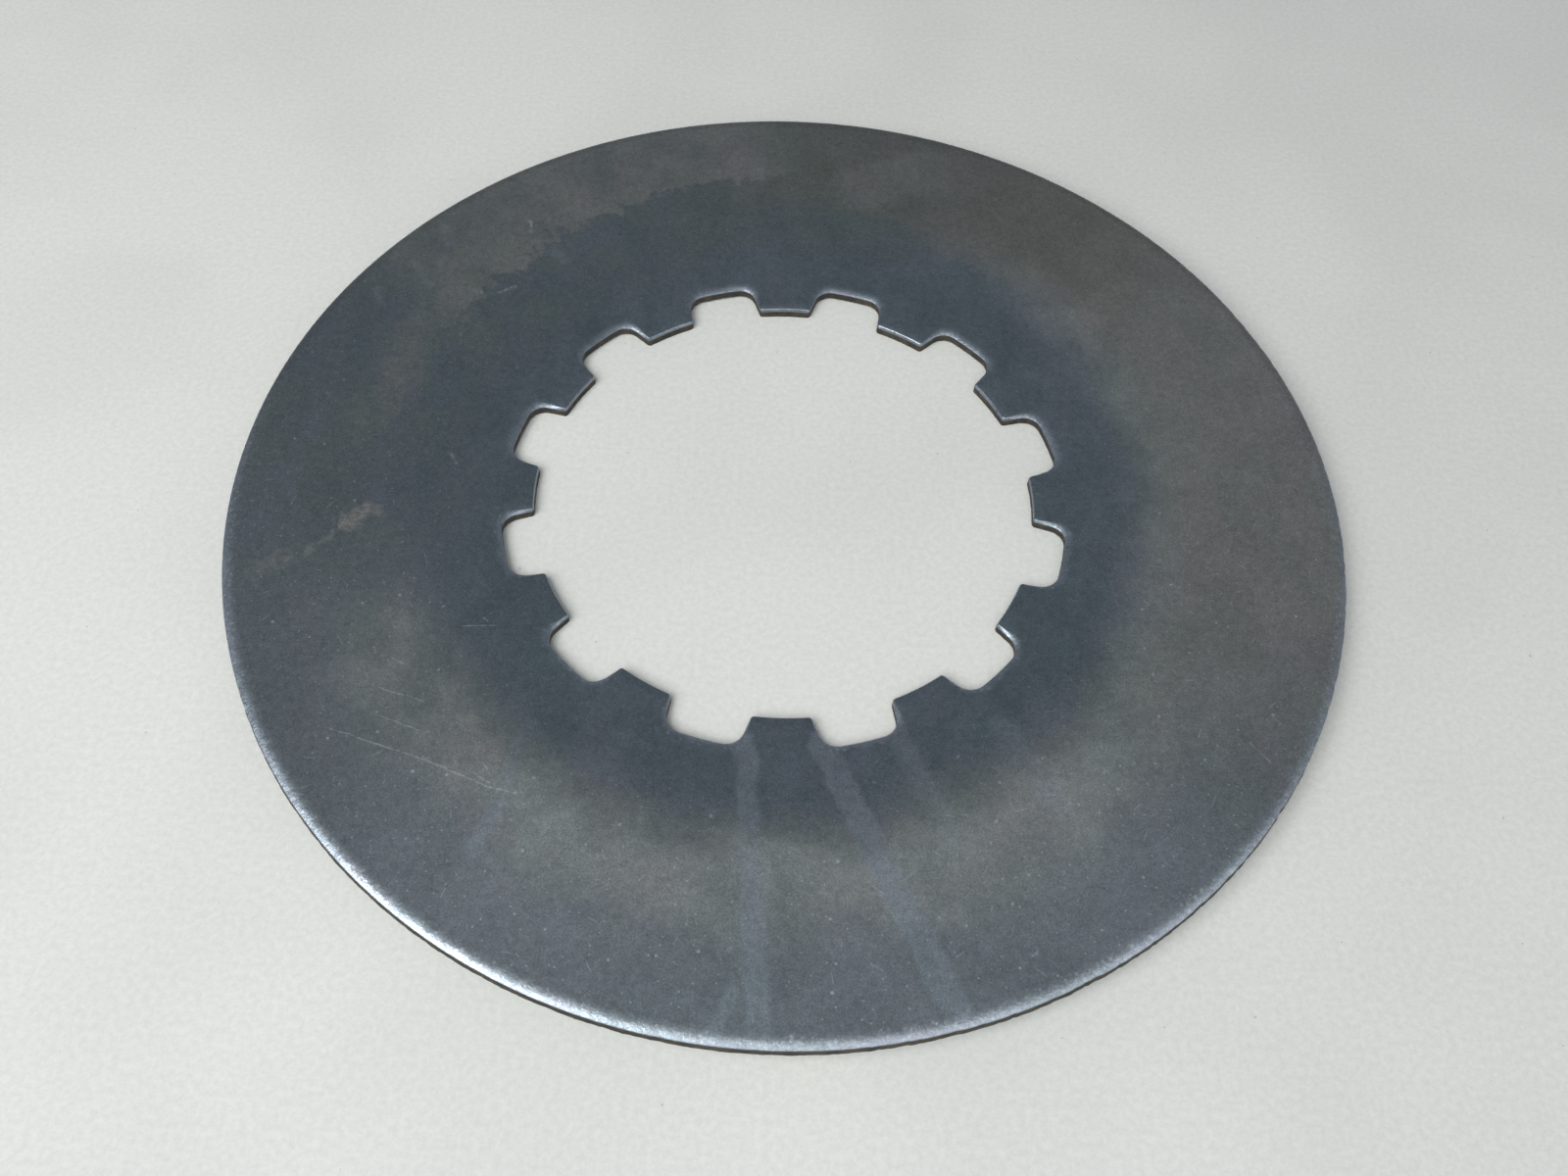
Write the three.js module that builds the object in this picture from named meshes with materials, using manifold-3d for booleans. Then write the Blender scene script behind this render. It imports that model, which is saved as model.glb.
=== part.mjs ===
// Coned spline disc: a single piece of sheet steel, blanked to a ring and pressed to a shallow cone.
// The hole in the middle has twelve notches, which a splined hub fills, and twelve broad teeth between them.
// Units are millimetres. Z is the disc's axis, and the hollow side of the cone faces up. The origin is on the
// axis in the plane that the tips of the teeth stand on, so the teeth are the disc's lowest part.

import * as THREE from "three";
import { mergeVertices } from "three/addons/utils/BufferGeometryUtils.js";
import Module from "manifold-3d";

// Driving dimensions of the plate.
const RIM_RADIUS = 75;
const SHEET = 1.6;
const CONE_RISE = 2.9; // from the tips of the teeth to the rim

// Driving dimensions of the hole.
const NOTCHES = 12;
const TIP_RADIUS = 34.4;
const ROOT_RADIUS = 38.85;
const NOTCH_HALF_WIDTH = 5.0; // at the middle of a flank
const FLANK_ANGLE = THREE.MathUtils.degToRad(5.3); // each flank leans this much away from the notch's centre line
const ROOT_FILLET = 2.4;
const TOOTH_CORNER = 0.5;

// The punch pulls the upper edge of the rim down into a soft roll.
const ROLL_WIDTH = 1.3;
const ROLL_DROP = 0.4;

// Fineness of the faceted shape.
const RIM_STEPS = 180;
const ROLL_STEPS = 3;
const TIP_STEPS = 4;
const ROOT_STEPS = 3;
const FILLET_STEPS = 4;
const CORNER_STEPS = 2;

const BLANK_HOLE_RADIUS = TIP_RADIUS - 3; // the plain hole that the toothed hole is then cut from
const NOTCH_PITCH = (2 * Math.PI) / NOTCHES;

const { Manifold, Mesh: SolidMesh } = await loadSolids();

async function loadSolids() {
  const wasm = await Module();
  wasm.setup();
  return wasm;
}

// Height of the plate's underside at a radius.
function underside(radius) {
  return (CONE_RISE * (radius - TIP_RADIUS)) / (RIM_RADIUS - TIP_RADIUS);
}

// Points on an arc about a centre, both ends included.
function arc(centre, radius, from, to, steps) {
  const points = [];
  for (let i = 0; i <= steps; i++) {
    const angle = from + ((to - from) * i) / steps;
    points.push(new THREE.Vector2(centre.x + radius * Math.cos(angle), centre.y + radius * Math.sin(angle)));
  }
  return points;
}

// The closed section of the plate, as radius and height: a sloping strip whose upper outer edge is rolled.
function plateSection() {
  const points = [new THREE.Vector2(BLANK_HOLE_RADIUS, underside(BLANK_HOLE_RADIUS))];
  points.push(new THREE.Vector2(RIM_RADIUS, underside(RIM_RADIUS)));
  for (let i = 0; i <= ROLL_STEPS; i++) {
    const turn = (Math.PI / 2) * (i / ROLL_STEPS);
    const radius = RIM_RADIUS - ROLL_WIDTH * (1 - Math.cos(turn));
    points.push(new THREE.Vector2(radius, underside(radius) + SHEET - ROLL_DROP * (1 - Math.sin(turn))));
  }
  points.push(new THREE.Vector2(BLANK_HOLE_RADIUS, underside(BLANK_HOLE_RADIUS) + SHEET));
  points.push(points[0].clone());
  return points;
}

// Centres of the two arcs at the ends of a notch's left flank, for a notch that opens towards the origin
// along +X. The flank is the line whose distance from the origin is flankDistance along flankNormal.
function flankArcs() {
  const flankNormal = new THREE.Vector2(Math.sin(FLANK_ANGLE), Math.cos(FLANK_ANGLE));
  const flankRun = new THREE.Vector2(Math.cos(FLANK_ANGLE), -Math.sin(FLANK_ANGLE));
  const middle = new THREE.Vector2((TIP_RADIUS + ROOT_RADIUS) / 2, NOTCH_HALF_WIDTH);
  const flankDistance = flankNormal.dot(middle);
  const centreAt = (distance, radius) => {
    const along = Math.sqrt(radius * radius - distance * distance);
    return flankNormal.clone().multiplyScalar(distance).addScaledVector(flankRun, along);
  };
  return {
    fillet: centreAt(flankDistance - ROOT_FILLET, ROOT_RADIUS - ROOT_FILLET),
    corner: centreAt(flankDistance + TOOTH_CORNER, TIP_RADIUS + TOOTH_CORNER),
    normalAngle: flankNormal.angle(),
  };
}

// One notch of the hole's outline, walked counter-clockwise from the middle of the root to the middle of
// the next tooth's tip, on the left side of the notch.
function leftHalfOfNotch() {
  const origin = new THREE.Vector2(0, 0);
  const { fillet, corner, normalAngle } = flankArcs();
  return [
    ...arc(origin, ROOT_RADIUS, 0, fillet.angle(), ROOT_STEPS),
    ...arc(fillet, ROOT_FILLET, fillet.angle(), normalAngle, FILLET_STEPS).slice(1),
    ...arc(corner, TOOTH_CORNER, normalAngle - Math.PI, corner.angle() - Math.PI, CORNER_STEPS),
    ...arc(origin, TIP_RADIUS, corner.angle(), NOTCH_PITCH / 2, TIP_STEPS).slice(1),
  ];
}

// The whole toothed outline. A tooth is centred on +X, so the first notch lies half a pitch round from it.
function holeOutline() {
  const left = leftHalfOfNotch();
  const right = left.map((point) => new THREE.Vector2(point.x, -point.y)).reverse();
  const notch = [...right.slice(0, -1), ...left.slice(0, -1)];
  const centre = new THREE.Vector2(0, 0);
  const outline = [];
  for (let i = 0; i < NOTCHES; i++) {
    const turn = (i + 0.5) * NOTCH_PITCH;
    outline.push(...notch.map((point) => point.clone().rotateAround(centre, turn)));
  }
  return outline;
}

function toSolid(geometry) {
  const bare = geometry.clone();
  bare.deleteAttribute("normal");
  bare.deleteAttribute("uv");
  const merged = mergeVertices(bare, 1e-4);
  return new Manifold(
    new SolidMesh({
      numProp: 3,
      vertProperties: new Float32Array(merged.attributes.position.array),
      triVerts: new Uint32Array(merged.index.array),
    }),
  );
}

function toGeometry(solid) {
  const { vertProperties, triVerts } = solid.getMesh();
  const geometry = new THREE.BufferGeometry();
  geometry.setAttribute("position", new THREE.BufferAttribute(vertProperties, 3));
  geometry.setIndex(new THREE.BufferAttribute(triVerts, 1));
  geometry.computeVertexNormals();
  return geometry;
}

// The coned ring before its hole is toothed, turned so that the lathe's Y axis becomes Z.
function conedRing() {
  return new THREE.LatheGeometry(plateSection(), RIM_STEPS).rotateX(Math.PI / 2);
}

// The straight-sided punch that leaves the teeth and notches, reaching past both faces of the ring.
function holePunch() {
  const margin = 2;
  const depth = SHEET + CONE_RISE + 2 * margin;
  const punch = new THREE.ExtrudeGeometry(new THREE.Shape(holeOutline()), { depth, bevelEnabled: false });
  return punch.translate(0, 0, -margin);
}

function satinSteel() {
  return new THREE.MeshStandardMaterial({ color: 0x5f676c, roughness: 0.42, metalness: 1 });
}

function splineDisc() {
  const solid = toSolid(conedRing()).subtract(toSolid(holePunch()));
  const disc = new THREE.Mesh(toGeometry(solid), satinSteel());
  disc.name = "splined_disc";
  return disc;
}

const part = new THREE.Group();
part.add(splineDisc());

export default part;
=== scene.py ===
"""Looks of the coned spline disc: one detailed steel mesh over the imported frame.

A camera, a plain pale floor and soft light go with it. Lengths in the shape code are metres. The
disc's axis is Z, its hollow side faces up, and angles are counter-clockwise from +X, which runs
through the middle of a tooth.
"""

import math

import bpy
import numpy as np
from mathutils import Matrix, Vector, noise


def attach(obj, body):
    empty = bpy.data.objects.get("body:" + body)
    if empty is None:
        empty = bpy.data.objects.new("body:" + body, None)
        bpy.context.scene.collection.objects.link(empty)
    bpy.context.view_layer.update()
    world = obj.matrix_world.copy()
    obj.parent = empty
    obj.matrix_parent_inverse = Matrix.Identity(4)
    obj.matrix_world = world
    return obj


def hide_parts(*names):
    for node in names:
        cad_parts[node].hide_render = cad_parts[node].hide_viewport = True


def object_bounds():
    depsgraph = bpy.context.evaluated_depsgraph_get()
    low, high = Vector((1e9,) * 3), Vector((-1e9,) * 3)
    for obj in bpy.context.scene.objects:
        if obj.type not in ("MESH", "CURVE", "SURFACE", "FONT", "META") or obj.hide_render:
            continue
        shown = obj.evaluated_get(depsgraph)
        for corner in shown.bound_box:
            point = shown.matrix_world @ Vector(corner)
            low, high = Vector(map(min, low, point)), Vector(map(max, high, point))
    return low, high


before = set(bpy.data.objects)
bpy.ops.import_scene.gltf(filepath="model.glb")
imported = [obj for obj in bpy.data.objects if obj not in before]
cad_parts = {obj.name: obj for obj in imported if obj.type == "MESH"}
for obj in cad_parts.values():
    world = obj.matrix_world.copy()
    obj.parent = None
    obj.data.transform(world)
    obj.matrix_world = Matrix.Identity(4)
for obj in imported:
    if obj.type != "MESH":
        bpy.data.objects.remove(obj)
cad_low, cad_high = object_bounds()

MM = 0.001

# Sizes of the plate, which the CAD model shares.
RIM_RADIUS = cad_high.x
SHEET = 1.6 * MM
CONE_RISE = 2.9 * MM
NOTCHES = 12
TIP_RADIUS = 34.4 * MM
ROOT_RADIUS = 38.85 * MM
NOTCH_HALF_WIDTH = 5.0 * MM
FLANK_ANGLE = math.radians(5.3)
ROOT_FILLET = 2.4 * MM
TOOTH_CORNER = 0.5 * MM
LEAST_CORNER = 0.02 * MM  # for a tooth's corner in an outline that is moved into the metal

# Edges that the punch leaves: a roll on top, a smooth sheared band under it, then a rough torn
# band. Each roll is its width in plan and its drop.
RIM_ROLL = (2.3 * MM, 0.47 * MM)
TIP_ROLL = (0.30 * MM, 0.46 * MM)
ROOT_ROLL = (1.60 * MM, 0.44 * MM)
HOLE_STEEPENING = 2.2  # how fast a roll steepens towards its wall
RIM_STEEPENING = 3.0
SHEARED_DEPTH = 0.25 * MM
TORN_GRAIN = 0.03 * MM
TORN_PITCH = 0.35 * MM
RIM_TUCK = 0.10 * MM  # the rim's upper edge stands this far inside the rim radius
RIM_LEAN = 0.18 * MM  # how far its lower edge stands outside the upper one
RIM_RAGGED = 0.05 * MM
RAGGED_PITCH = 1.8 * MM
RIM_NICK = 0.13 * MM  # depth of the knocks along its upper edge
NICK_PITCH = 1.6 * MM
NICKED_SIDE = math.radians(-35)  # where the knocks are deepest
LEAST_NICKED = 0.2  # their depth on the other side, as a share

# Points round one half of a notch, from the middle of its root to the middle of the next tooth.
HALF_NOTCH_STEPS = {"root": 8, "fillet": 12, "flank": 7, "corner": 5, "tip": 11}


# ---------------------------------------------------------------- camera

def add_camera():
    """A phone-like camera that looks down at the disc from the angle of the reference view."""
    elevation = math.radians(57.07)
    turn = math.radians(0.4)
    roll = math.radians(0.93)
    distance = 2.3398 * RIM_RADIUS
    aim = Vector((-0.0569 * RIM_RADIUS, -0.1683 * RIM_RADIUS, CONE_RISE))
    back = Vector((0, -math.cos(elevation), math.sin(elevation)))
    right = Vector((1, 0, 0))
    up = back.cross(right)
    rolled_right = right * math.cos(roll) + up * math.sin(roll)
    rolled_up = up * math.cos(roll) - right * math.sin(roll)
    axes = Matrix((rolled_right, rolled_up, back)).transposed().to_4x4()
    data = bpy.data.cameras.new("camera")
    data.sensor_width = 36
    data.lens = 30.47
    data.shift_x = 0.0207
    data.shift_y = -0.0157
    data.clip_start = 0.005
    camera = bpy.data.objects.new("camera", data)
    stand = Matrix.Translation(aim + back * distance)
    camera.matrix_world = Matrix.Rotation(turn, 4, "Z") @ stand @ axes
    bpy.context.scene.collection.objects.link(camera)
    bpy.context.scene.camera = camera


add_camera()


# ---------------------------------------------------------------- outline of the hole

def arc(centre, radius, start, end, steps):
    """Points on an arc, without its last one."""
    angles = start + (end - start) * np.arange(steps) / steps
    return np.stack([centre[0] + radius * np.cos(angles), centre[1] + radius * np.sin(angles)], 1)


def half_notch(inset):
    """Half of the outline of the notch on +X, moved into the metal by inset."""
    normal = np.array([math.sin(FLANK_ANGLE), math.cos(FLANK_ANGLE)])
    along = np.array([math.cos(FLANK_ANGLE), -math.sin(FLANK_ANGLE)])
    reach = normal @ np.array([(TIP_RADIUS + ROOT_RADIUS) / 2, NOTCH_HALF_WIDTH]) + inset
    fillet_radius = ROOT_FILLET + inset
    corner_radius = max(TOOTH_CORNER - inset, LEAST_CORNER)

    def centre_at(distance, radius):
        return normal * distance + along * math.sqrt(radius ** 2 - distance ** 2)

    fillet = centre_at(reach - fillet_radius, ROOT_RADIUS + inset - fillet_radius)
    corner = centre_at(reach + corner_radius, TIP_RADIUS + inset + corner_radius)
    fillet_angle = math.atan2(fillet[1], fillet[0])
    corner_angle = math.atan2(corner[1], corner[0])
    normal_angle = math.atan2(normal[1], normal[0])
    flank_from = fillet + normal * fillet_radius
    flank_to = corner - normal * corner_radius
    steps = HALF_NOTCH_STEPS
    share = (np.arange(steps["flank"]) / steps["flank"])[:, None]
    return np.concatenate([
        arc((0, 0), ROOT_RADIUS + inset, 0, fillet_angle, steps["root"]),
        arc(fillet, fillet_radius, fillet_angle, normal_angle, steps["fillet"]),
        flank_from + (flank_to - flank_from) * share,
        arc(corner, corner_radius, normal_angle - math.pi, corner_angle - math.pi, steps["corner"]),
        arc((0, 0), TIP_RADIUS + inset, corner_angle, math.pi / NOTCHES, steps["tip"] + 1),
    ])


def turned(points, angle):
    """Points in plan, turned counter-clockwise about the axis."""
    cos, sin = math.cos(angle), math.sin(angle)
    return points @ np.array([[cos, sin], [-sin, cos]])


def hole_outline(inset=0.0):
    """The whole toothed outline, moved into the metal by inset, counter-clockwise."""
    half_pitch = math.pi / NOTCHES
    tip = np.array([[math.cos(half_pitch), math.sin(half_pitch)]]) * (TIP_RADIUS + inset)
    left = np.concatenate([half_notch(inset), tip])
    right = left[:0:-1] * np.array([1, -1])
    notch = np.concatenate([right, left[:-1]])
    turns = (np.arange(NOTCHES) + 0.5) * 2 * math.pi / NOTCHES
    return np.concatenate([turned(notch, angle) for angle in turns])


# ---------------------------------------------------------------- the plate's mesh

HOLE_BAND = 1.9 * MM  # metal round the hole in which the rings keep the notches' shape
ROUND_FROM = 43 * MM  # beyond this radius the rings are circles
BLEND_SHARES = (0, 0.25, 0.5, 0.75)  # rings from the notches' shape to the first circle
ROLL_SHARES = (0, 0.03, 0.10, 0.20, 0.32, 0.46, 0.63, 0.82)  # rings across a roll, from the wall
MATERIAL_SLOTS = {"face": 0, "wall": 1}
WALL_RINGS = 7
WEB_RINGS = 14
WEB_WAVE = 0.02 * MM  # slow unevenness of rolled sheet
WEB_WAVE_LENGTH = 22 * MM
FIELD_DIMENSION = 0.6
FIELD_LACUNARITY = 2.0
SEEDS = {"hole_wall": 1, "rim_wall": 5, "web": 9, "knocks": 12}


def smooth(x):
    """A smooth step from 0 to 1, over x from 0 to 1."""
    x = np.clip(x, 0, 1)
    return x * x * (3 - 2 * x)


def underside(points):
    """Height of the cone's lower face over points in plan."""
    radius = np.hypot(points[:, 0], points[:, 1])
    return CONE_RISE * (radius - TIP_RADIUS) / (RIM_RADIUS - TIP_RADIUS)


def field(points, scale, seed, octaves=3):
    """Smooth noise of about -1 to 1 at points, with features about scale across."""
    offset = Vector((seed * 7.3, seed * 3.1, seed * 5.7))  # far enough that no two fields are alike
    shape = (FIELD_DIMENSION, FIELD_LACUNARITY, octaves)
    return np.array([
        noise.fractal(Vector(point) / scale + offset, *shape, noise_basis="PERLIN_ORIGINAL")
        for point in points
    ])


def circle(radius, angles):
    """Points in plan at a radius, or at a radius for each of the angles."""
    return np.stack([radius * np.cos(angles), radius * np.sin(angles)], 1)


def web_plans():
    """Plans of the web's rings, from the hole's roll to the rim's, and the evenly spaced angles."""
    edge = hole_outline(HOLE_BAND)
    count = len(edge)
    edge_angles = np.unwrap(np.arctan2(edge[:, 1], edge[:, 0]))
    even_angles = edge_angles[0] + 2 * math.pi * np.arange(count) / count
    first_circle = circle(ROUND_FROM, edge_angles)
    rings = [edge + (first_circle - edge) * share for share in BLEND_SHARES]
    last_radius = RIM_RADIUS - RIM_ROLL[0]
    for share in np.linspace(0, 1, WEB_RINGS):
        radius = ROUND_FROM + (last_radius - ROUND_FROM) * share
        evened = smooth(share * 2)  # complete from halfway out
        angles = edge_angles + (even_angles - edge_angles) * evened
        rings.append(circle(radius, angles))
    return rings, even_angles


def lift(plan, height):
    """Points in space from points in plan and their heights."""
    return np.column_stack([plan, height])


def roll_rings(drop, steepening, plan_at):
    """Rings up a rolled edge, from the wall to the flat.

    plan_at(share) gives the plan of the ring at that share of the roll's width.
    """
    rings = []
    for share in ROLL_SHARES:
        plan = plan_at(share)
        rings.append(lift(plan, underside(plan) + SHEET - drop * (1 - share) ** steepening))
    return rings


def wall_rings(drop, plan_at, lean, ragged, seed):
    """Rings up a sheared wall, from its foot to its roll. The lean carries its foot outward."""
    rings = []
    top = SHEET - drop
    torn_top = top - SHEARED_DEPTH
    edge = plan_at(0)
    out = edge - plan_at(0.01)  # the direction out of the metal
    out /= np.linalg.norm(out, axis=1)[:, None]
    base = underside(edge)
    teeth = field(lift(edge, base), RAGGED_PITCH, seed + 1, 3)
    for i in range(WALL_RINGS):
        share = i / (WALL_RINGS - 1)
        height = torn_top * share
        torn = 1 - share
        grain = field(lift(edge, base + height), TORN_PITCH, seed, 2)
        roughened = min(1, torn * 3)  # in full over the lower two thirds of the torn band
        reach = lean * torn + (TORN_GRAIN * grain + ragged * teeth) * roughened
        rings.append(lift(edge + out * reach[:, None], base + height))
    rings.append(lift(edge, base + (torn_top + top) / 2))
    return rings


def plate_rings():
    """All rings of the closed section, from the foot of the hole's wall up, over and back below.

    With them come, for each ring, the surface kind of the band that follows it, its wear, and one
    if it is on the upper side or a wall, zero on the underside.
    """
    web, even_angles = web_plans()

    outline = hole_outline()
    radius = np.hypot(outline[:, 0], outline[:, 1])
    rootward = smooth((radius - TIP_RADIUS) / (ROOT_RADIUS - TIP_RADIUS))
    hole_drop = TIP_ROLL[1] + (ROOT_ROLL[1] - TIP_ROLL[1]) * rootward

    def hole_at(share):
        tip_plan = hole_outline(TIP_ROLL[0] * share)
        root_plan = hole_outline(ROOT_ROLL[0] * share)
        return tip_plan + (root_plan - tip_plan) * rootward[:, None]

    rim_points = lift(circle(RIM_RADIUS, even_angles), np.zeros(len(even_angles)))
    knocks = field(rim_points, NICK_PITCH, SEEDS["knocks"])
    knocked = LEAST_NICKED + (1 - LEAST_NICKED) * smooth(np.cos(even_angles - NICKED_SIDE))
    nicks = RIM_NICK * np.clip(knocks, 0, 1) * knocked

    def rim_at(share):
        roll = RIM_TUCK + (RIM_ROLL[0] - RIM_TUCK) * share
        nicked = nicks * (1 - share) ** 3  # soon gone towards the flat
        return circle(RIM_RADIUS - roll - nicked, even_angles)

    rings, kinds, wear = [], [], []

    def add(new_rings, kind, new_wear):
        rings.extend(new_rings)
        kinds.extend([kind] * len(new_rings))
        wear.extend(new_wear)

    top_web = [lift(plan, underside(plan) + SHEET) for plan in web]
    lower_web = [lift(plan, underside(plan)) for plan in reversed(web)]
    hole_wall = wall_rings(hole_drop, hole_at, 0, 0, SEEDS["hole_wall"])
    rim_wall = wall_rings(RIM_ROLL[1], rim_at, RIM_LEAN, RIM_RAGGED, SEEDS["rim_wall"])[::-1]
    no_wear = [0] * len(web)
    roll_wear = [1 - share for share in ROLL_SHARES]
    add(hole_wall, "wall", [1] * len(hole_wall))
    add(roll_rings(hole_drop, HOLE_STEEPENING, hole_at), "face", roll_wear)
    add(top_web, "face", no_wear)
    add(roll_rings(RIM_ROLL[1], RIM_STEEPENING, rim_at)[::-1], "face", roll_wear[::-1])
    add(rim_wall, "wall", [1] * len(rim_wall))
    kinds[-1] = "face"  # the band after the rim's foot is the underside's first
    add(lower_web, "face", no_wear)
    upper = [1] * (len(rings) - len(lower_web)) + [0] * len(lower_web)
    return rings, kinds, wear, upper


def add_value(mesh, name, values):
    """Values at the mesh's points, which a material can read by name."""
    layer = mesh.attributes.new(name, "FLOAT", "POINT")
    layer.data.foreach_set("value", np.asarray(values, dtype=np.float32))


def build_plate():
    """The plate as one closed mesh, with its wear, side and depth as values at the points."""
    rings, kinds, wear, upper = plate_rings()
    count = len(rings[0])
    verts = np.concatenate(rings)
    depth = (underside(verts) + SHEET - verts[:, 2]) / SHEET
    in_plan = verts * np.array([1, 1, 0])
    verts[:, 2] += WEB_WAVE * field(in_plan, WEB_WAVE_LENGTH, SEEDS["web"], 2)
    verts[:, 2] = np.maximum(verts[:, 2], 0)
    faces, slots = [], []
    for i, kind in enumerate(kinds):
        ring, following_ring = i * count, (i + 1) % len(rings) * count
        for j in range(count):
            k = (j + 1) % count
            faces.append((ring + k, ring + j, following_ring + j, following_ring + k))
            slots.append(MATERIAL_SLOTS[kind])
    mesh = bpy.data.meshes.new("splined_disc_steel")
    mesh.from_pydata(verts.tolist(), [], faces)
    mesh.polygons.foreach_set("material_index", slots)
    mesh.polygons.foreach_set("use_smooth", [True] * len(faces))
    mesh.update()
    add_value(mesh, "wear", np.repeat(wear, count))
    add_value(mesh, "upper", np.repeat(upper, count))
    add_value(mesh, "depth", depth)
    disc = bpy.data.objects.new("splined_disc_steel", mesh)
    bpy.context.scene.collection.objects.link(disc)
    return disc


disc = build_plate()


# ---------------------------------------------------------------- materials

class Paint:
    """Nodes of one material. Places and sizes are millimetres in the disc's frame."""

    def __init__(self, name):
        self.material = bpy.data.materials.new(name)
        self.material.use_nodes = True
        self.tree = self.material.node_tree
        self.shader = self.tree.nodes["Principled BSDF"]
        coordinates = self.make("ShaderNodeTexCoord").outputs["Object"]
        self.place = self.vector("SCALE", coordinates, scale=1 / MM)
        self.plan = self.vector("MULTIPLY", self.place, (1, 1, 0))
        self.radius = self.vector("LENGTH", self.plan)
        self.heading = self.vector("NORMALIZE", self.plan)

    def make(self, kind, **settings):
        made = self.tree.nodes.new(kind)
        for key, value in settings.items():
            setattr(made, key, value)
        return made

    def plug(self, value, socket):
        if isinstance(value, bpy.types.NodeSocket):
            self.tree.links.new(value, socket)
        else:
            socket.default_value = value

    def value(self, name):
        """A value stored at the mesh's points."""
        return self.make("ShaderNodeAttribute", attribute_name=name).outputs["Fac"]

    def math(self, operation, *values):
        made = self.make("ShaderNodeMath", operation=operation)
        for socket, value in zip(made.inputs, values):
            self.plug(value, socket)
        return made.outputs[0]

    def product(self, first, *others):
        """All of the values multiplied."""
        for other in others:
            first = self.math("MULTIPLY", first, other)
        return first

    def most(self, first, *others):
        """The greatest of the values."""
        for other in others:
            first = self.math("MAXIMUM", first, other)
        return first

    def vector(self, operation, *values, scale=None):
        made = self.make("ShaderNodeVectorMath", operation=operation)
        for socket, value in zip(made.inputs, values):
            self.plug(value, socket)
        if scale is not None:
            self.plug(scale, made.inputs["Scale"])
        is_number = operation in {"DOT_PRODUCT", "DISTANCE", "LENGTH"}
        return made.outputs["Value" if is_number else "Vector"]

    def ramp(self, value, low, high, start=0.0, end=1.0):
        """A smooth step from start at low to end at high. A low above the high turns it round."""
        made = self.make("ShaderNodeMapRange", interpolation_type="SMOOTHSTEP")
        names = ("Value", "From Min", "From Max", "To Min", "To Max")
        for name, item in zip(names, (value, low, high, start, end)):
            self.plug(item, made.inputs[name])
        return made.outputs["Result"]

    def vary(self, texture, least, most):
        """A factor from least to most over the middle of a noise's range."""
        return self.ramp(texture, 0.25, 0.75, least, most)

    def noise(self, size, detail=3.0, roughness=0.55, stretch=(1, 1, 1), shift=0.0, output="Fac"):
        """Noise with features about size across. A shift gives another pattern of the same kind."""
        place = self.vector("MULTIPLY_ADD", self.place, stretch, (shift, shift, shift))
        made = self.make("ShaderNodeTexNoise")
        self.plug(place, made.inputs["Vector"])
        self.plug(1 / size, made.inputs["Scale"])
        self.plug(detail, made.inputs["Detail"])
        self.plug(roughness, made.inputs["Roughness"])
        return made.outputs[output]

    def wander(self, push, reach):
        """The plan place, pushed about by up to reach. The push is the colour of a noise."""
        centred = self.vector("SUBTRACT", push, (0.5, 0.5, 0.5))
        moved = self.vector("MULTIPLY", centred, (2 * reach, 2 * reach, 0))
        return self.vector("ADD", self.plan, moved)

    def specks(self, spacing, size, amount, shift=0.0):
        """Small round marks about spacing apart; amount is the share of the cells that have one."""
        made = self.make("ShaderNodeTexVoronoi", voronoi_dimensions="2D")
        self.plug(self.vector("ADD", self.plan, (shift, shift, 0)), made.inputs["Vector"])
        self.plug(1 / spacing, made.inputs["Scale"])
        chance = self.make("ShaderNodeSeparateColor")
        self.plug(made.outputs["Color"], chance.inputs[0])
        present = self.ramp(chance.outputs[0], 1 - amount, 1 - amount + 0.02)
        reach = self.ramp(chance.outputs[1], 0, 1, 0.4 * size / spacing, size / spacing)
        near = self.ramp(self.math("DIVIDE", made.outputs["Distance"], reach), 1, 0.5)
        return self.product(present, near)

    def dashes(self, spacing, length, width, amount, shift=0.0):
        """Short straight scratches in all directions, about spacing apart."""
        place = self.vector("ADD", self.plan, (shift, shift, 0))
        made = self.make("ShaderNodeTexVoronoi", voronoi_dimensions="2D")
        self.plug(place, made.inputs["Vector"])
        self.plug(1 / spacing, made.inputs["Scale"])
        chance = self.make("ShaderNodeSeparateColor")
        self.plug(made.outputs["Color"], chance.inputs[0])
        turn = self.math("MULTIPLY", chance.outputs[1], math.pi)
        along = self.make("ShaderNodeCombineXYZ")
        self.plug(self.math("COSINE", turn), along.inputs[0])
        self.plug(self.math("SINE", turn), along.inputs[1])
        away = self.vector("SUBTRACT", place, made.outputs["Position"])
        away = self.vector("MULTIPLY", away, (1, 1, 0))
        reach = self.vector("DOT_PRODUCT", away, along.outputs[0])
        side = self.vector("DISTANCE", away, self.vector("SCALE", along.outputs[0], scale=reach))
        half = self.ramp(chance.outputs[2], 0, 1, 0.15 * length, 0.5 * length)
        inside = self.ramp(self.math("DIVIDE", self.math("ABSOLUTE", reach), half), 1, 0.7)
        present = self.ramp(chance.outputs[0], 1 - amount, 1 - amount + 0.02)
        return self.product(present, inside, self.ramp(side, width / 2, width / 4))

    def facing(self, azimuth, half_width, blur):
        """One inside a sector of the disc about an azimuth in degrees, zero outside."""
        middle = math.radians(azimuth)
        along = self.vector("DOT_PRODUCT", self.heading, (math.cos(middle), math.sin(middle), 0))
        outer, inner = math.radians(half_width + blur / 2), math.radians(half_width - blur / 2)
        return self.ramp(along, math.cos(outer), math.cos(inner))

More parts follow.
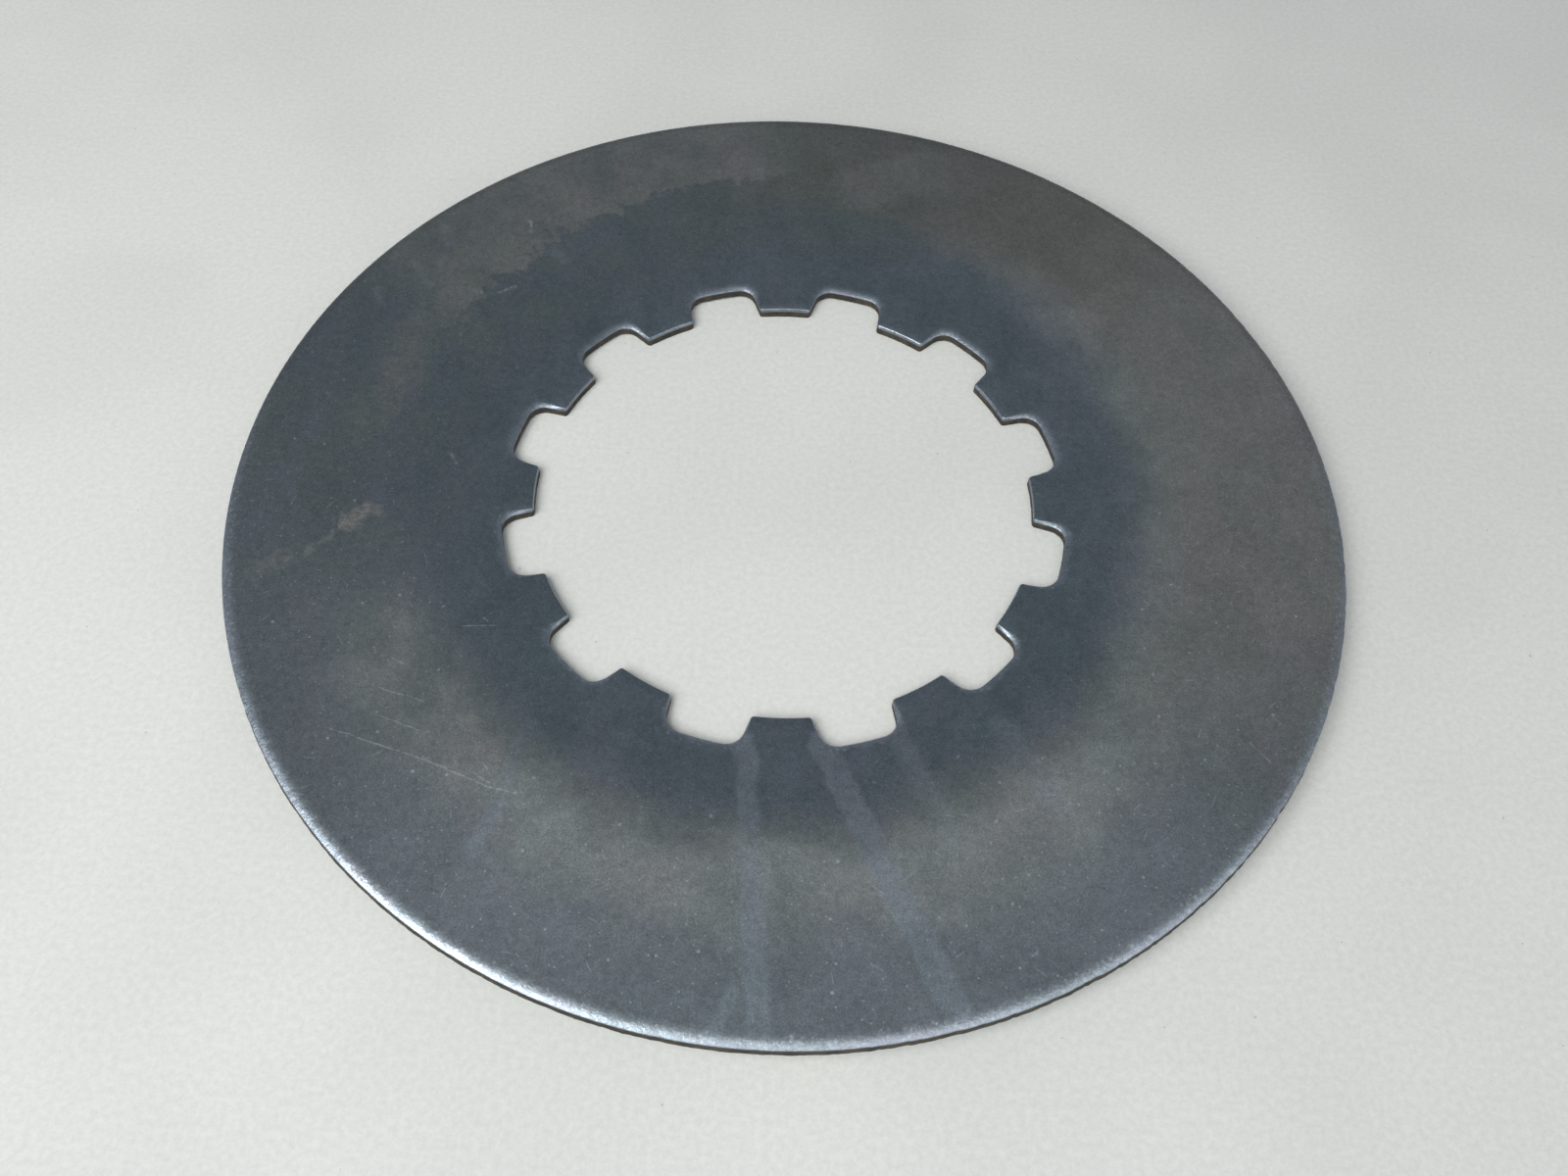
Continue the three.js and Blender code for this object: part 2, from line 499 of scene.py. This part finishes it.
    def stroke(self, place, start, end, width, blur):
        """One along a straight mark from start to end."""
        start, end = Vector((*start, 0)), Vector((*end, 0))
        along = (end - start).normalized()
        from_start = self.vector("SUBTRACT", place, start)
        reach = self.vector("DOT_PRODUCT", from_start, along)
        reach = self.math("MINIMUM", self.math("MAXIMUM", reach, 0), (end - start).length)
        distance = self.vector("DISTANCE", from_start, self.vector("SCALE", along, scale=reach))
        return self.ramp(distance, (width + blur) / 2, (width - blur) / 2)

    def strokes(self, place, marks, blur):
        """One along each of a list of marks, which are start, end and width."""
        return self.most(*(self.stroke(place, *mark, blur) for mark in marks))

    def mix(self, share, below, above, blend="MIX"):
        """One colour over another, by share."""
        made = self.make("ShaderNodeMix", data_type="RGBA", blend_type=blend)
        self.plug(share, made.inputs[0])
        for color, socket in ((below, made.inputs[6]), (above, made.inputs[7])):
            self.plug((*color, 1) if isinstance(color, tuple) else color, socket)
        return made.outputs[2]

    def multiplied(self, color, factor):
        return self.mix(1.0, color, factor, "MULTIPLY")

    def bump(self, height):
        """Surface relief from a height in millimetres."""
        made = self.make("ShaderNodeBump")
        self.plug(MM, made.inputs["Distance"])
        self.plug(height, made.inputs["Height"])
        self.plug(made.outputs["Normal"], self.shader.inputs["Normal"])


# Tones of the plate's faces, as light reflected by bare metal.
BLUE_STEEL = (0.240, 0.290, 0.312)
HAZY_STEEL = (0.270, 0.318, 0.352)
OLIVE_STEEL = (0.448, 0.468, 0.440)
SLATE_STEEL = (0.330, 0.363, 0.378)
WARM_STEEL = (0.430, 0.424, 0.386)
FAR_GREEN = (0.250, 0.285, 0.268)
FAR_STAIN = (0.312, 0.306, 0.262)
BROWN_STAIN = (0.372, 0.378, 0.352)
PALE_STAIN = (0.540, 0.520, 0.465)
DRIED_RUN = (0.480, 0.535, 0.575)
# Bare steel of scratches and marks; on the near half its specks are also painted glints.
BARE_STEEL_AND_GLINT = (0.700, 0.740, 0.750)
WORN_ROLL = (0.370, 0.410, 0.470)
DARK_PIT = (0.150, 0.155, 0.155)
GREEN_TINT = (0.982, 1.012, 0.998)
PINK_TINT = (1.020, 0.992, 1.006)

# Tones of the punched walls and of the floor.
SHEARED_BAND = (0.20, 0.205, 0.21)
# The torn band's tone is dark metal, and also painted shade for the shadowed gap below the edges.
TORN_BAND_AND_SHADE = (0.060, 0.058, 0.052)
TORN_OXIDE = (0.110, 0.092, 0.072)
TORN_GLINT = (0.18, 0.18, 0.17)
DARKER_PAPER = (0.716, 0.733, 0.694)
LIGHTER_PAPER = (0.752, 0.762, 0.722)
PAPER_FLECK = (0.25, 0.25, 0.25)

# Zones of the faces: the radii in millimetres over which one fades in, then its sector, as azimuth,
# half width and blur in degrees.
SLATE_ZONE = ((58, 67), (250, 75, 50))
WARM_ZONE = ((50, 57), (16, 44, 40))
GREEN_ZONE = ((43, 50), (90, 20, 22))
FAR_RIGHT_ZONE = ((52, 60), (66, 28, 26))
DULL_LEFT_ZONE = ((41, 46), (150, 42, 30))
# The lit zone is partly painted sheen and partly a paler olive ring on the near side.
LIT_ZONE = ((49, 57), (272, 42, 36))

# Sectors on their own: where the olive ring is weak, where the far-left stain lies, and the near
# half of the disc.
WEAK_RING_SECTOR = (122, 76, 50)
STAIN_SECTOR = (119, 29, 8)
NEAR_SECTOR = (270, 95, 60)

# How far each kind of mark wanders from its straight line, in millimetres.
STAIN_WANDER = 4
BLOTCH_WANDER = 2.4
RUN_WANDER = 1.0
SCRATCH_WANDER = 0.3

# The far-left stain fades in over STAIN_EDGE, in millimetres of radius, with these added to it: a
# share of x, which brings the edge nearer to the axis at the left, and two noises by their reach.
STAIN_EDGE = (72.3, 73.3)
STAIN_SHARE_OF_X = -0.11
STAIN_CLOUD_REACH = 7
STAIN_RAGGED_REACH = 13

# Single marks on the hollow side: start, end, width and blur, in millimetres.
STAIN_SMEAR = ((-51, 38), (-59, 9), 6, 4)
STAIN_PATCH = ((12, 60), (22, 63), 9, 4)
BLOTCHES = (  # each with its strength
    (((-58.8, -7.6), (-56.2, -5.6), 2.6, 1.0), 1.0),
    (((-60.5, -10), (-62.2, -13), 0.9, 0.7), 0.7),
    (((-65.5, -13.5), (-69, -16.5), 2.2, 1.0), 0.35),
)

# Marks in lists, which share a blur: start, end and width, in millimetres.
DRIED_RUNS = (
    ((-4.5, -38), (-3.5, -55), 2.6),
    ((-3.5, -55), (-2, -74), 2.8),
    ((5, -38), (11, -52), 3.2),
    ((11, -52), (19, -70), 3.4),
    ((-5.2, -69), (-7.2, -73.5), 1.5),
    ((-33.2, -47), (-35.4, -53.5), 1.8),
)
FAINT_RUNS = (  # with a few short hazy patches at the far left
    ((14, -36), (20, -50), 2.6),
    ((27, -35), (33, -46), 3.0),
    ((-31.2, -37), (-33, -46), 1.7),
    ((-53, 47.5), (-52.4, 44.5), 1.6),
    ((-61.5, 34.5), (-61, 32), 1.0),
    ((-36, 44.5), (-34.6, 42.6), 1.5),
    ((-56.5, 40), (-54, 36), 1.2),
)
SCRATCHES = (
    ((-50, -32.5), (-44.2, -34.2), 0.14),
    ((-49.7, -36.2), (-44, -38.2), 0.13),
    ((-54.8, -38.4), (-40, -43), 0.14),
    ((-42, -42.4), (-35, -45.2), 0.20),
    ((-35, -45.2), (-31.4, -46), 0.22),
    ((-37, -43.4), (-34.7, -44.7), 0.14),
    ((-35.6, -42.4), (-34.7, -43.9), 0.16),
    ((-49, -28.2), (-47.5, -28.9), 0.2),
    ((-51.6, -26.8), (-51.2, -27.6), 0.22),
    ((-41, -22.9), (-36.7, -22.6), 0.14),
    ((-38.6, -21.6), (-38, -22), 0.2),
    ((56.6, -37.6), (58.6, -40.2), 0.2),
)
BRIGHT_MARKS = (
    ((-33.1, -49), (-32.7, -49.3), 0.5),
    ((-33.4, -47.4), (-33.1, -47.7), 0.3),
    ((-40.4, 50), (-40, 47.8), 0.5),
    ((-48, 35.6), (-46, 35), 0.4),
    ((-43.5, 35.2), (-41.2, 36.6), 0.3),
    ((-31.5, 52.4), (-30.5, 51.4), 0.5),
    ((-39.4, 22), (-39.1, 21), 0.3),
    ((-46.5, 4.6), (-45.6, 3.2), 0.25),
)


class FaceSteel(Paint):
    """Satin steel sheet with tone rings, cloudy stains, dried runs, scratches, specks and wear, and
    painted sheen, glints and shade.
    """

    def __init__(self):
        super().__init__("satin_steel")
        self.upper = self.value("upper")
        self.wear = self.value("wear")
        self.cloud = self.noise(size=7, detail=4, roughness=0.6, shift=40)
        self.ragged = self.noise(size=2.6, detail=5, roughness=0.68, shift=80)
        self.mottle = self.noise(size=0.9, detail=4, roughness=0.65, shift=20)
        self.grain = self.noise(size=0.22, detail=2, roughness=0.6, shift=60)
        self.smudge = self.noise(size=7, roughness=0.6, stretch=(1, 0.4, 1), shift=120)
        self.push = self.noise(size=3, detail=4, roughness=0.62, shift=10, output="Color")
        drift, drift_reach = self.noise(size=16), 9
        centred = self.math("SUBTRACT", self.radius, drift_reach / 2)
        self.wavy_radius = self.math("MULTIPLY_ADD", drift, drift_reach, centred)
        self.near_half = self.ramp(self.facing(*NEAR_SECTOR), 0, 1, 0.25, 1)
        # Painted shade: the far part of the rim is darkened, and its rolls get less of their pale
        # colour.
        self.shaded_far_rim = self.product(
            self.ramp(self.radius, 60, 70), self.ramp(self.near_half, 0.25, 1, 0.8, 0),
        )
        self.ring = self.olive_ring()
        self.stains = self.brown_stains()
        self.runs = self.dried_runs()

        color = self.tones()
        color = self.mix(self.stains, color, BROWN_STAIN)
        color = self.mix(self.blotches(), color, PALE_STAIN)
        color = self.mix(self.runs, color, DRIED_RUN)
        color = self.mix(self.pale_marks_and_glints(), color, BARE_STEEL_AND_GLINT)
        pits = self.specks(spacing=3, size=0.16, amount=0.3, shift=17)
        color = self.mix(self.product(pits, 0.5), color, DARK_PIT)
        color = self.mix(self.product(self.worn_rolls_and_far_shade(), 0.7), color, WORN_ROLL)
        color = self.multiplied(color, self.shade())
        tint = self.mix(self.ramp(self.smudge, 0.35, 0.65), GREEN_TINT, PINK_TINT)
        self.plug(self.multiplied(color, tint), self.shader.inputs["Base Color"])
        self.plug(1.0, self.shader.inputs["Metallic"])
        self.plug(self.roughness(), self.shader.inputs["Roughness"])
        self.bump(self.relief())

    def zone(self, fade, sector):
        """One in a zone of the faces, zero outside."""
        return self.product(self.ramp(self.wavy_radius, *fade), self.facing(*sector))

    def olive_ring(self):
        """The pale ring round the blue zone, faint on the far left."""
        ring = self.product(
            self.ramp(self.wavy_radius, 44.5, 54), self.ramp(self.wavy_radius, 58, 72, 1, 0.45),
        )
        weakened = self.ramp(self.facing(*WEAK_RING_SECTOR), 0, 1, 1, 0.12)
        return self.product(ring, weakened, self.vary(self.cloud, 0.72, 1.15))

    def tones(self):
        """The blue zone at the hole, the olive ring and the tones of each side."""
        blue = self.mix(self.ramp(self.smudge, 0.4, 0.72), BLUE_STEEL, HAZY_STEEL)
        color = self.mix(self.ring, blue, OLIVE_STEEL)
        for place, strength, tone in (
            (SLATE_ZONE, 0.8, SLATE_STEEL),
            (WARM_ZONE, 0.85, WARM_STEEL),
            (GREEN_ZONE, 0.5, FAR_GREEN),
            (FAR_RIGHT_ZONE, 0.7, FAR_STAIN),
        ):
            color = self.mix(self.product(self.zone(*place), strength), color, tone)
        clouded = self.product(self.zone(*DULL_LEFT_ZONE), self.ramp(self.cloud, 0.35, 0.6), 0.55)
        return self.mix(clouded, color, FAR_GREEN)

    def brown_stains(self):
        """The far-left stain with its ragged inner edge, a smear beside it and a patch beyond."""
        x_place = self.vector("DOT_PRODUCT", self.plan, (1, 0, 0))
        tilted = self.math("MULTIPLY_ADD", x_place, STAIN_SHARE_OF_X, self.radius)
        clouded = self.math("MULTIPLY_ADD", self.cloud, STAIN_CLOUD_REACH, tilted)
        rough_edge = self.math("MULTIPLY_ADD", self.ragged, STAIN_RAGGED_REACH, clouded)
        stain = self.product(self.ramp(rough_edge, *STAIN_EDGE), self.facing(*STAIN_SECTOR))
        stain = self.product(
            stain, self.ramp(self.cloud, 0.3, 0.65, 0.68, 1), self.ramp(tilted, 70, 76, 1, 0.8),
        )
        place = self.wander(self.push, STAIN_WANDER)
        broken = self.ramp(self.ragged, 0.35, 0.6, 0.15, 0.6)
        smear = self.product(self.stroke(place, *STAIN_SMEAR), broken)
        patch = self.product(self.stroke(place, *STAIN_PATCH), 0.7)
        return self.product(self.most(stain, smear, patch), self.upper)

    def blotches(self):
        """Pale blotches at the left."""
        place = self.wander(self.push, BLOTCH_WANDER)
        blotch = self.most(*(
            self.product(self.stroke(place, *mark), strength) for mark, strength in BLOTCHES
        ))
        return self.product(blotch, self.ramp(self.mottle, 0.3, 0.65, 0.35, 0.9), self.upper)

    def dried_runs(self):
        """The tracks of liquid that ran from the hole to the rim."""
        place = self.wander(self.push, RUN_WANDER)
        runs = self.most(
            self.product(self.strokes(place, DRIED_RUNS, 0.9), 0.6),
            self.product(self.strokes(place, FAINT_RUNS, 1.2), 0.32),
        )
        return self.product(runs, self.ramp(self.ragged, 0.25, 0.6, 0.55, 1), self.upper)

    def pale_marks_and_glints(self):
        """Scratches, bright marks, and specks that are densest on the near half and its rim, where
        they are partly painted glints.
        """
        place = self.wander(self.push, SCRATCH_WANDER)
        scratches = self.product(
            self.strokes(place, SCRATCHES, 0.1), self.ramp(self.mottle, 0.35, 0.6, 0.2, 0.9),
        )
        gaps = self.noise(size=1.1, roughness=0.6, shift=230)
        broken = self.ramp(gaps, 0.4, 0.6, 0.15, 0.9)
        bright = self.product(self.strokes(place, BRIGHT_MARKS, 0.6), broken)
        dashes = self.dashes(spacing=4.5, length=2.0, width=0.15, amount=0.35, shift=11)
        specks = self.most(
            self.product(self.specks(spacing=1.3, size=0.17, amount=0.45), 0.7),
            self.specks(spacing=5, size=0.30, amount=0.4, shift=33),
            self.product(dashes, 0.6),
        )
        # The specks and flecks keep to the near half, where they are partly real specks and partly
        # painted glints.
        outward = self.ramp(self.radius, 42, 52, 0.3, 1)
        specks = self.product(specks, self.near_half, outward, 0.85)
        near_wear = self.product(self.wear, self.near_half)
        flecks = self.specks(spacing=0.8, size=0.34, amount=0.5, shift=5)
        flecks = self.product(flecks, self.ramp(near_wear, 0.15, 0.6), 0.5)
        return self.product(self.most(scratches, bright, specks, flecks), self.upper)

    def worn_rolls_and_far_shade(self):
        """Wear of the rolled edges, with less of its pale colour on the far rim, which is painted
        shade.
        """
        worn = self.ramp(self.math("ADD", self.ragged, self.wear), 0.75, 1.4)
        return self.product(worn, self.math("SUBTRACT", 1, self.shaded_far_rim))

    def shade(self):
        """Small differences of lightness, painted sheen that lightens a zone at the near side, and
        painted shade that darkens the far rim.
        """
        return self.product(
            self.vary(self.grain, 0.80, 1.20),
            self.vary(self.mottle, 0.90, 1.10),
            self.vary(self.cloud, 0.93, 1.07),
            self.ramp(self.smudge, 0.25, 0.55, 0.94, 1),
            # Painted sheen lightens the near side, and painted shade darkens the far rim's rolls.
            self.ramp(self.zone(*LIT_ZONE), 0, 1, 1, 1.28),
            self.ramp(self.product(self.shaded_far_rim, self.wear), 0, 0.8, 1, 0.72),
        )

    def roughness(self):
        """Rougher where it is pale, stained or worn, smoother on the dried runs."""
        roughness = 0.275
        for texture, change in (
            (self.mottle, 0.08),
            (self.ring, 0.04),
            (self.runs, -0.05),
            (self.stains, 0.05),
            (self.product(self.wear, self.ragged), 0.22),
        ):
            roughness = self.math("MULTIPLY_ADD", texture, change, roughness)
        return roughness

    def relief(self):
        """Fine grain everywhere, and dents on the worn rolls. Heights are millimetres."""
        fine = self.math("MULTIPLY_ADD", self.mottle, 0.006, self.product(self.grain, 0.006))
        dents = self.math("MULTIPLY_ADD", self.mottle, 0.05, self.product(self.ragged, 0.20))
        return self.math("MULTIPLY_ADD", self.wear, dents, fine)


def sheared_steel():
    """The punched walls: a narrow burnished band over a dark, rough torn band with brown oxide,
    darkened further as painted shade.
    """
    paint = Paint("sheared_edge")
    depth = paint.math("MULTIPLY_ADD", paint.noise(size=1.2), 0.25, paint.value("depth"))
    grain = paint.noise(size=0.22, roughness=0.65, stretch=(1, 1, 0.35))
    oxide = paint.noise(size=1.6, detail=4, roughness=0.6, shift=15)
    torn = paint.ramp(depth, 0.42, 0.56)
    dark = paint.mix(paint.ramp(oxide, 0.4, 0.65), TORN_BAND_AND_SHADE, TORN_OXIDE)
    dark = paint.mix(paint.ramp(grain, 0.62, 0.8, 0, 0.35), dark, TORN_GLINT)
    paint.plug(paint.mix(torn, SHEARED_BAND, dark), paint.shader.inputs["Base Color"])
    paint.plug(paint.ramp(torn, 0, 1, 1, 0.55), paint.shader.inputs["Metallic"])
    roughness = paint.math("MULTIPLY_ADD", grain, 0.2, paint.ramp(torn, 0, 1, 0.34, 0.55))
    paint.plug(roughness, paint.shader.inputs["Roughness"])
    paint.plug(0.3, paint.shader.inputs["Specular IOR Level"])
    paint.bump(paint.product(grain, paint.ramp(torn, 0, 1, 0.01, 0.05)))
    return paint.material


def floor_paper():
    """Matt off-white card with faint mottling and a few dark flecks."""
    paint = Paint("floor_paper")
    mottle = paint.noise(size=0.8, detail=4, roughness=0.75)
    patchy = paint.noise(size=38, detail=2, roughness=0.5, shift=5)
    flecks = paint.specks(spacing=11, size=0.2, amount=0.3)
    color = paint.mix(paint.ramp(patchy, 0.35, 0.65), DARKER_PAPER, LIGHTER_PAPER)
    color = paint.mix(paint.product(flecks, 0.4), color, PAPER_FLECK)
    color = paint.multiplied(color, paint.vary(mottle, 0.93, 1.06))
    paint.plug(color, paint.shader.inputs["Base Color"])
    paint.plug(paint.math("MULTIPLY_ADD", mottle, 0.1, 0.82), paint.shader.inputs["Roughness"])
    paint.plug(0.1, paint.shader.inputs["Specular IOR Level"])
    paint.bump(paint.product(mottle, 0.03))
    return paint.material


disc.data.materials.append(FaceSteel().material)
disc.data.materials.append(sheared_steel())
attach(disc, "root")
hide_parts("splined_disc")


# ---------------------------------------------------------------- floor and light

FLOOR_HALF = 2.5
SKY = (0.84, 0.90, 1.0)
SKY_STRENGTH = 0.27
MIDDLE = (0, 0, 0)


def add_floor():
    mesh = bpy.data.meshes.new("floor")
    corners = [(x * FLOOR_HALF, y * FLOOR_HALF, 0) for x, y in ((-1, -1), (1, -1), (1, 1), (-1, 1))]
    mesh.from_pydata(corners, [], [(0, 1, 2, 3)])
    floor = bpy.data.objects.new("floor", mesh)
    bpy.context.scene.collection.objects.link(floor)
    floor.data.materials.append(floor_paper())


def add_area(name, place, aim, size, watts, color):
    """A rectangular light at place that faces aim. Its size is width and height in metres."""
    data = bpy.data.lights.new(name, "AREA")
    data.shape = "RECTANGLE"
    data.size, data.size_y = size
    data.energy = watts
    data.color = color
    light = bpy.data.objects.new(name, data)
    light.location = place
    light.rotation_euler = (Vector(aim) - Vector(place)).to_track_quat("-Z", "Y").to_euler()
    bpy.context.scene.collection.objects.link(light)
    return light


def add_world(color, strength):
    world = bpy.data.worlds.new("world")
    world.use_nodes = True
    background = world.node_tree.nodes["Background"]
    background.inputs["Color"].default_value = (*color, 1)
    background.inputs["Strength"].default_value = strength
    bpy.context.scene.world = world


add_floor()
add_world(SKY, SKY_STRENGTH)

# The window and the fill make reflections on the metal only, and the softbox lights matt surfaces
# only, so the floor's shade and the metal's highlights are set apart from each other.
window = add_area(
    "left_window", place=(-0.44, -0.27, 0.50), aim=MIDDLE, size=(0.30, 0.32), watts=2.3,
    color=(0.93, 0.97, 1.0),
)
window.visible_diffuse = False
add_area(
    "overhead", place=(-0.12, -0.44, 0.66), aim=(0, -0.05, 0), size=(1.0, 0.65), watts=2.1,
    color=(1.0, 0.99, 0.97),
)
softbox = add_area(
    "softbox", place=(-0.30, -0.30, 0.50), aim=MIDDLE, size=(0.5, 0.5), watts=3.05,
    color=(1.0, 0.99, 0.98),
)
softbox.visible_glossy = False
softbox.visible_camera = False
fill = add_area(
    "right_fill", place=(0.55, -0.38, 0.50), aim=MIDDLE, size=(0.7, 0.5), watts=1.0,
    color=(0.97, 0.98, 1.0),
)
fill.visible_diffuse = False
bpy.context.scene.view_settings.view_transform = "Standard"
